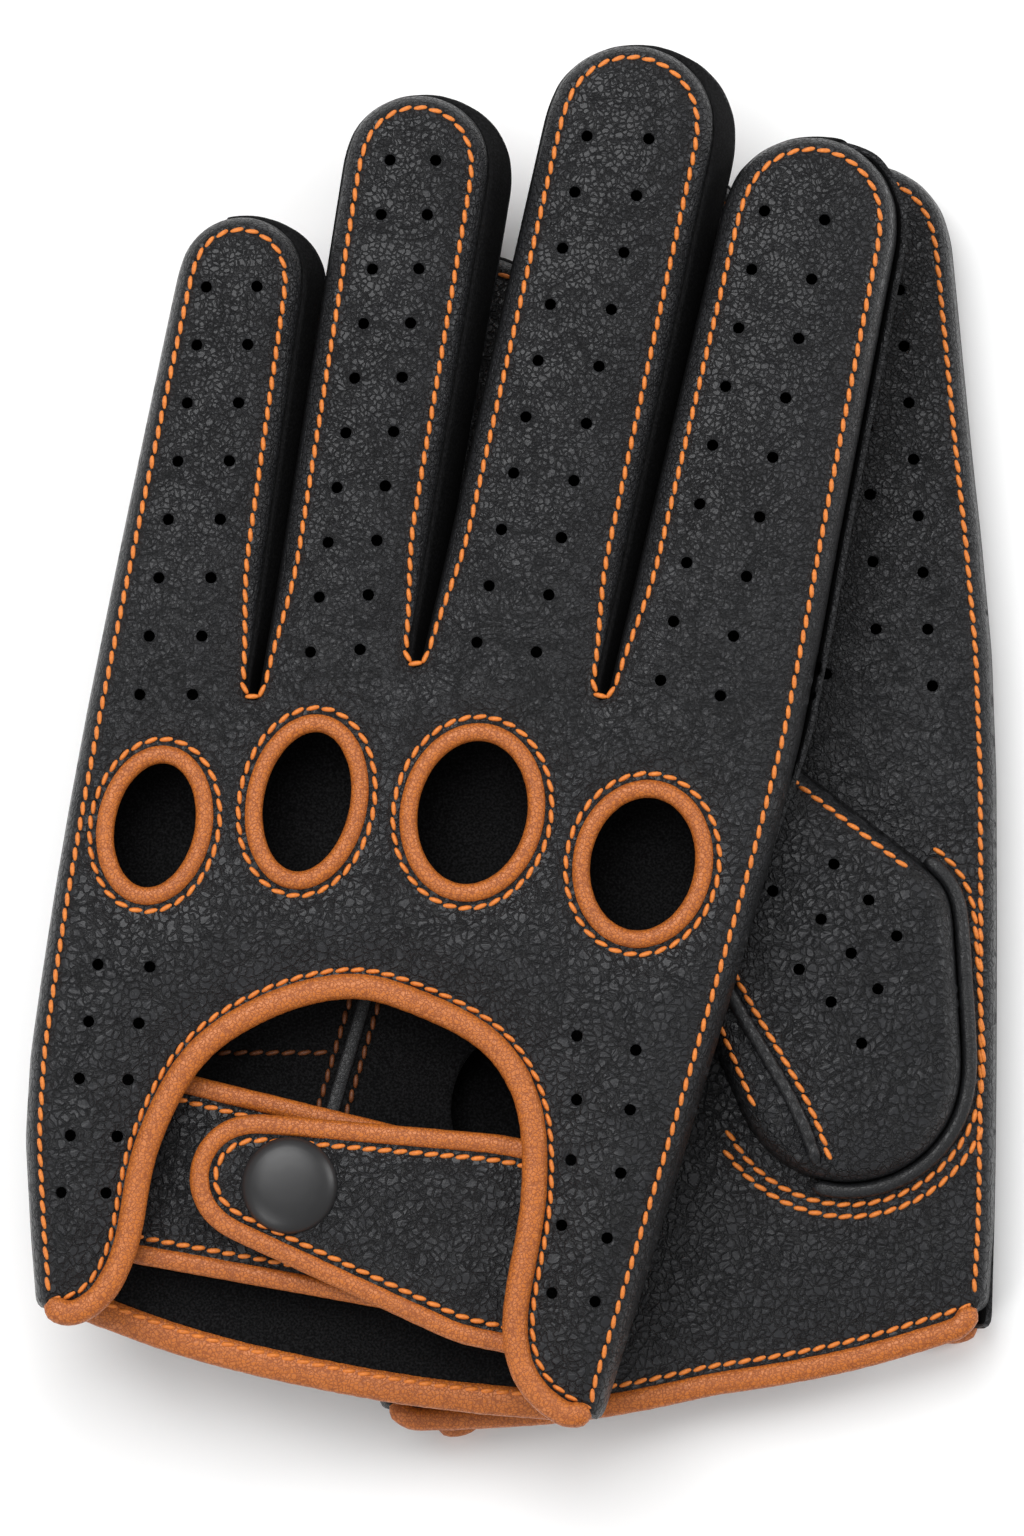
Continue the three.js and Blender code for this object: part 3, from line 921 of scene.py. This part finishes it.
# ---- Wrist straps ----
# The tab is a tongue of grained leather with a bound edge, sewn in at the index side. It closes
# over the under-strap with a press snap.
STRAP_LEATHER = 1.5
STRAP_BINDING = 3.3
STRAP_BINDING_HEIGHT = 2.5


def little_panel(name, outline, level, up, body, node, crown=0.5):
    """A small bound piece of leather, slightly crowned, with its lining."""
    outline = spaced(counter_clockwise(outline), 0.8)
    flat, faces = triangulated(outline, [], (0.5, 1.0, 1.5, 2.0, 2.8), 1.1)
    edge, _ = nearest(outline)(flat)
    height = crown * (1 - np.exp(-edge / 3)) - 0.28 * np.exp(-((edge - 1.2) / 0.45) ** 2)
    height += crumple(flat, 4.5, 1.7) * 0.16 + crumple(flat, 1.8, 4.4) * 0.06
    if up < 0:
        faces = faces[:, ::-1]
    piece = make_mesh(name, np.column_stack([flat, level + up * height]), faces,
                      [hand_leather, suede])
    thicken(piece, STRAP_LEATHER)
    if body:
        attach(piece, body)
    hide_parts(*node)
    size = (left if up > 0 else right).extent(outline) * MM
    return piece


for glove in (left, right):
    side, up = glove.side, glove.up
    hinge = joint(f"{side}_strap_hinge")
    hinge_x = float(glove.local(np.array([hinge["pos_m"][:2]]) / MM)[0, 0])
    tab_level = outer_level(f"{side}_strap_tab", up)
    tab = glove.local(flat_loops(f"{side}_strap_tab", tab_level * MM)[0])
    root_level = outer_level(f"{side}_strap_root", up)
    root = glove.local(flat_loops(f"{side}_strap_root", root_level * MM)[0])
    end_x = root[:, 0].max() - 1
    edge_line = tab[tab[:, 0] < hinge_x - 1]
    middle_y = edge_line[:, 1].mean()
    turn = np.arctan2(edge_line[:, 1] - middle_y, edge_line[:, 0] - hinge_x + 6)
    edge_line = edge_line[np.argsort(np.mod(turn, 2 * np.pi))]
    top_corner = tab[(tab[:, 0] > hinge_x - 1)][:, 1].max()
    low_corner = tab[(tab[:, 0] > hinge_x - 1)][:, 1].min()
    border = np.vstack([[(end_x, top_corner)], [(hinge_x, top_corner)], edge_line,
                        [(hinge_x, low_corner)], [(end_x, low_corner)]])
    border = softened(spaced(border, 0.7, False), 2.5, False)
    outline = glove.world(np.vstack([border, [(end_x, low_corner)], [(end_x, top_corner)]]))
    tab_height = tab_level + up * 0.5
    tab_piece = little_panel(f"{side}_strap_tab_leather", outline, tab_height, up,
                             None, (f"{side}_strap_tab", f"{side}_strap_root"))
    side_of = outward(border, False)
    if side_of[len(border) // 2][0] > 0:
        side_of = -side_of
    roll_line = glove.world(border + side_of * 1.1)
    tab_roll = rolled(f"{side}_strap_tab_roll",
                      at_height(roll_line, tab_height - up * 0.45),
                      STRAP_BINDING, STRAP_BINDING_HEIGHT, tan_leather, None, up, False,
                      f"{side}_strap_tab_binding")
    seam_line = glove.world(border - side_of * 1.5)[4:-4]
    tab_thread = stitches(f"{side}_strap_tab_stitching",
                          at_height(seam_line, tab_height + up * 0.22), None, up)
    start = glove.world(np.array([[hinge_x + 3, 0]]))[0]
    finish = glove.world(np.array([[hinge_x - 5, 0]]))[0]
    for piece in (tab_piece, tab_roll, tab_thread):
        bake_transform(piece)

    under_level = outer_level(f"{side}_under_strap", up)
    under = glove.local(flat_loops(f"{side}_under_strap", under_level * MM)[0])
    x0, x1 = under[:, 0].min() + 1.5, under[:, 0].max()
    y0, y1 = under[:, 1].min(), under[:, 1].max()
    corners = glove.world(np.array([(x0, y0 - 1), (x1, y0), (x1, y1 - 1.2), (x0, y1 + 1)]))
    little_panel(f"{side}_under_strap_leather", corners, under_level + up * 0.2, up,
                 f"{side}_glove", (f"{side}_under_strap",), 0.3)
    for edge, y, inner, far in (("lower", y0 - 1.6, y0 + 1.2, 1.0),
                                ("upper", y1 + 1.6, y1 - 1.2, -2.2)):
        line = glove.world(spaced(np.array([(x0, y), (x1, y + far)], float), 1.0, False))
        rolled(f"{side}_under_strap_{edge}_roll", at_height(line, under_level - up * 0.3),
               STRAP_BINDING, STRAP_BINDING_HEIGHT, tan_leather, f"{side}_glove", up, False,
               f"{side}_under_strap_{edge}_binding")
        line = glove.world(spaced(np.array([(x0, inner), (x1, inner + far)], float), 1.0, False))
        stitches(f"{side}_under_strap_{edge}_stitching",
                 at_height(line, under_level + up * 0.35), f"{side}_glove", up)


# ---- Press snaps ----
# A domed cap of lacquered metal on the tab, its brass socket below, and a stud and post on the
# under-strap.
CAP_SIDES = 64
CAP_PROFILE = ((0, 2.35), (2.5, 2.3), (4.6, 2.1), (6.2, 1.72), (7.3, 1.15), (7.85, 0.55),
               (8.0, 0.1), (7.8, -0.3), (7.2, -0.45), (6.4, -0.45))

for glove in (left, right):
    side, up = glove.side, glove.up
    low, high = (np.array(corner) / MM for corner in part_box(f"{side}_snap_cap"))
    centre = (low + high) / 2
    base = low[2] if up > 0 else high[2]
    rows = []
    for radius, rise in CAP_PROFILE:
        angles = np.linspace(0, 2 * np.pi, CAP_SIDES + 1)[:-1]
        rows.append(np.stack([centre[0] + radius * np.cos(angles),
                              centre[1] + radius * np.sin(angles),
                              np.full(CAP_SIDES, base + up * (rise + 0.55))], axis=1))
    cap = strip_mesh(f"{side}_snap_dome", rows, [lacquer], closed=True)
    close_up(cap, merge=True)
    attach(cap, f"{side}_strap")
    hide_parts(f"{side}_snap_cap")
    for part in ("snap_socket", "snap_stud", "snap_post"):
        frame["nodes"][f"{side}_{part}"].data.materials[0] = brass


# ---- Thumbs ----
# Each thumb is folded flat over its palm. Its outer half is punched and sewn round the thumb hole
# with a black piping and thread, and has a second piped seam down to the wrist.
THUMB_ROLL = 3.8
THUMB_CROWN = 1.1
THUMB_INSET = 1.6
PIPING = 2.6
THUMB_HOLES = ((28.1, 83.1), (33.3, 76.6), (25.1, 74.1), (37.4, 70.2), (29.6, 68.0), (20.7, 66.1),
               (33.5, 61.7), (25.5, 60.2), (30.0, 52.9), (17.5, 79.5), (13.5, 91.0), (6.5, 83.5))
SECOND_SEAM = ((4.5, 74), (7.2, 67), (9.8, 60.8), (13.4, 53.5), (17.2, 45.5), (19.8, 38.5),
               (21.0, 32.6))
GATHER_DEPTH = 0.253

for glove, palm in ((left, left_palm), (right, right_palm)):
    side, up = glove.side, palm.up
    body, thumb_body = f"{side}_glove", f"{side}_thumb"
    level = outer_level(f"{side}_thumb_front_panel", up)
    foot = outer_level(f"{side}_thumb_front_panel", -up)
    edge_line = counter_clockwise(flat_loops(f"{side}_thumb_front_panel", level * MM)[0])
    edge_line = spaced(softened(spaced(edge_line, 0.8), 3.5), 0.8)
    outline = edge_line - outward(edge_line) * THUMB_INSET
    lx, ly = glove.local(edge_line).T
    swing = joint(f"{side}_thumb_swing")
    axis = np.array(swing["axis"][:2])
    hinge_at = np.array(swing["pos_m"][:2]) / MM
    forward = np.array([-axis[1], axis[0]])
    forward *= np.sign((edge_line.mean(0) - hinge_at) @ forward)
    seam_line = softened(spaced(glove.world(np.array(SECOND_SEAM)), 0.8, False), 3, False)
    find_edge, find_seam = nearest(outline), nearest(seam_line)

    def thumb_top(points):
        edge, _ = find_edge(points)
        seam, _ = find_seam(points)
        t = np.clip(1 - edge / THUMB_ROLL, 0, 1)
        drop = (abs(level - foot) - 1.3) * (1 - np.sqrt(np.clip(1 - t ** 2.2, 0, 1)))
        dome = THUMB_CROWN * (1 - np.exp(-np.clip(edge - 1, 0, None) / 7)) - THUMB_CROWN
        creases = crumple(points, 8, 2.2) * 0.25 + crumple(points, 2.5, 7.7) * 0.06
        gathered = np.exp(-(seam / 4.5) ** 2) * np.sin(points @ forward * 2.6) * GATHER_DEPTH
        groove = 0.75 * np.exp(-(seam / 1.3) ** 2)
        return level + up * (dome - drop + creases * np.clip(edge / 3, 0, 1)
                             + gathered * np.clip(edge / 4, 0, 1) - groove)

    def on_thumb(flat, rise):
        return np.column_stack([flat, thumb_top(flat) + up * rise])

    flat, faces = triangulated(outline, punched(glove.world(np.array(THUMB_HOLES))),
                               (0.35, 0.8, 1.4, 2.1, 2.9, 3.7, 4.6), 1.2)
    if up < 0:
        faces = faces[:, ::-1]
    thumb = make_mesh(f"{side}_thumb_front_leather", on_thumb(flat, 0), faces,
                      [hand_leather, suede])
    thicken(thumb, LEATHER)
    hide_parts(f"{side}_thumb_front_panel")
    thumb_size = (glove.extent(outline) + 2 * THUMB_ROLL) * MM
    second = rolled(f"{side}_thumb_second_piping", on_thumb(seam_line, 0.55), 2.2, 1.9,
                    edge_leather, None, up)
    beside = seam_line + outward(seam_line, False) * -2.2
    if (glove.local(beside) - glove.local(seam_line))[:, 0].mean() < 0:
        beside = seam_line + outward(seam_line, False) * 2.2
    second_thread = stitches(f"{side}_thumb_second_stitching", on_thumb(beside, 0.12), None, up)
    sewn = (ly < 84) & (lx > 3) & ((ly < 42) | (lx > 30))
    edge_thread = (edge_line - outward(edge_line) * (THUMB_INSET + 2.3))[max(runs(~sewn), key=len)]
    tip_thread = stitches(f"{side}_thumb_edge_stitching", on_thumb(edge_thread, 0.12), None, up)
    for piece in (thumb, second, second_thread, tip_thread):
        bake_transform(piece)

    def palm_row(points, rise):
        return np.column_stack([points, palm.surface(points) + up * rise])

    foot_run = (ly < 84) & (lx > 19) & ((ly < 45) | (lx > 30))
    pipe = softened((edge_line - outward(edge_line) * 0.4)[max(runs(foot_run), key=len)], 2, False)
    rolled(f"{side}_thumb_piping_roll", palm_row(pipe, 0.9), PIPING, PIPING, edge_leather, body, up,
           node=f"{side}_thumb_piping")
    for row, (distance, chosen) in enumerate(((1.9, sewn), (3.9, (ly < 40) & (lx > 5)))):
        line = (edge_line + outward(edge_line) * distance)[max(runs(chosen), key=len)]
        line = softened(spaced(line, 0.5, False), 2.0, False)
        stitches(f"{side}_thumb_seam_stitching_{row}", palm_row(line, 0.12), body, up)

    inner_level = outer_level(f"{side}_thumb_back_panel", up)
    inner_edge = flat_loops(f"{side}_thumb_back_panel", inner_level * MM)[0]
    inner_edge = spaced(counter_clockwise(inner_edge), 1.0)
    flat, faces = triangulated(inner_edge, [], (0.8, 1.6), 2.0)
    if up < 0:
        faces = faces[:, ::-1]
    ripple = crumple(flat, 9, 4.2) * 0.15 - 0.15
    thumb_inner = make_mesh(f"{side}_thumb_back_leather",
                            np.column_stack([flat, inner_level + up * ripple]), faces,
                            [suede, hand_leather])
    thicken(thumb_inner, 0.8)
    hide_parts(f"{side}_thumb_back_panel")
    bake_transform(thumb_inner)
    inner_size = glove.extent(inner_edge) * MM
